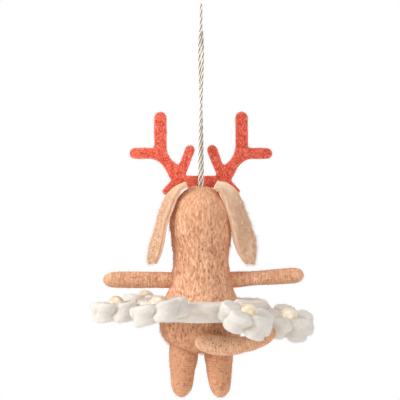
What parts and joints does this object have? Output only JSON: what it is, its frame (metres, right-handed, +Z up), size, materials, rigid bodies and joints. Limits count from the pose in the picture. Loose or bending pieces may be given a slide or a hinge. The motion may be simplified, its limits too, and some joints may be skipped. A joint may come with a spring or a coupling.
{
  "type": "felt hanging ornament",
  "caption": "Felted wool dog doll with red antlers, bendable limbs and a garland skirt of felt flowers with pearl beads, hung on a twisted cord loop.",
  "frame": {"origin": "inner top of the hanging loop", "axes": "+Z up as it hangs; the doll's face looks towards -Y and its left hand towards +X"},
  "size_m": [0.0938, 0.0911, 0.1663],
  "materials": {
    "tan_felt": "needle-felted wool",
    "red_felt": "thick felt",
    "white_felt": "thick felt",
    "ear_fur": "short fur fabric",
    "ear_lining": "thin felt",
    "cord": "twisted cotton",
    "thread": "sewing thread",
    "pearl": "pearlescent",
    "dark_bead": "polished",
    "steel_wire": "drawn wire"
  },
  "bodies": {
    "hanger": {"hanging_cord": "cord", "cord_knot": "cord"},
    "figure": {"body": "tan_felt", "muzzle": "tan_felt", "nose": "dark_bead", "eye_left": "dark_bead", "eye_right": "dark_bead", "antler_headband": "red_felt", "shoulder_wire": "steel_wire", "hip_wire": "steel_wire", "tail_anchor_wire": "steel_wire", "skirt_ring_upper": "white_felt", "skirt_ring_lower": "white_felt", "flower_1_upper": "white_felt", "flower_1_lower": "white_felt", "pearl_1": "pearl", "pearl_thread_1": "thread", "flower_2_upper": "white_felt", "flower_2_lower": "white_felt", "pearl_2": "pearl", "pearl_thread_2": "thread", "flower_3_upper": "white_felt", "flower_3_lower": "white_felt", "pearl_3": "pearl", "pearl_thread_3": "thread", "flower_4_upper": "white_felt", "flower_4_lower": "white_felt", "pearl_4": "pearl", "pearl_thread_4": "thread", "flower_5_upper": "white_felt", "flower_5_lower": "white_felt", "pearl_5": "pearl", "pearl_thread_5": "thread", "flower_6_upper": "white_felt", "flower_6_lower": "white_felt", "pearl_6": "pearl", "pearl_thread_6": "thread", "flower_7_upper": "white_felt", "flower_7_lower": "white_felt", "pearl_7": "pearl", "pearl_thread_7": "thread"},
    "ear_left": {"ear_left_fur": "ear_fur", "ear_left_lining": "ear_lining"},
    "ear_right": {"ear_right_fur": "ear_fur", "ear_right_lining": "ear_lining"},
    "arm_left": {"arm_left": "tan_felt", "arm_wire_left": "steel_wire"},
    "arm_right": {"arm_right": "tan_felt", "arm_wire_right": "steel_wire"},
    "leg_left": {"leg_left": "tan_felt", "leg_wire_left": "steel_wire"},
    "leg_right": {"leg_right": "tan_felt", "leg_wire_right": "steel_wire"},
    "tail": {"tail": "tan_felt", "tail_wire": "steel_wire"}
  },
  "joints": [
    {"name": "cord_twist", "type": "hinge", "parent": "hanger", "child": "figure", "pos_m": [0, 0, -0.0758], "axis": [0, 0, 1], "range_deg": [-180, 180]},
    {"name": "ear_left_swing", "type": "hinge", "parent": "figure", "child": "ear_left", "pos_m": [0.0076, 0.004, -0.0764], "axis": [0, -1, 0], "range_deg": [0, 60]},
    {"name": "ear_right_swing", "type": "hinge", "parent": "figure", "child": "ear_right", "pos_m": [-0.0076, 0.004, -0.0764], "axis": [0, 1, 0], "range_deg": [0, 60]},
    {"name": "arm_left_bend", "type": "hinge", "parent": "figure", "child": "arm_left", "pos_m": [0.012, 0, -0.11559], "axis": [0, 0, -1], "range_deg": [-30, 60]},
    {"name": "arm_right_bend", "type": "hinge", "parent": "figure", "child": "arm_right", "pos_m": [-0.012, 0, -0.11559], "axis": [0, 0, 1], "range_deg": [-30, 60]},
    {"name": "leg_left_bend", "type": "hinge", "parent": "figure", "child": "leg_left", "pos_m": [0.0072, 0, -0.14249], "axis": [-1, 0, 0], "range_deg": [-15, 30]},
    {"name": "leg_right_bend", "type": "hinge", "parent": "figure", "child": "leg_right", "pos_m": [-0.0072, 0, -0.14249], "axis": [-1, 0, 0], "range_deg": [-15, 30]},
    {"name": "tail_bend", "type": "hinge", "parent": "figure", "child": "tail", "pos_m": [-0.0015, 0.0124, -0.14058], "axis": [0, -1, 0], "range_deg": [-5, 45]}
  ]
}
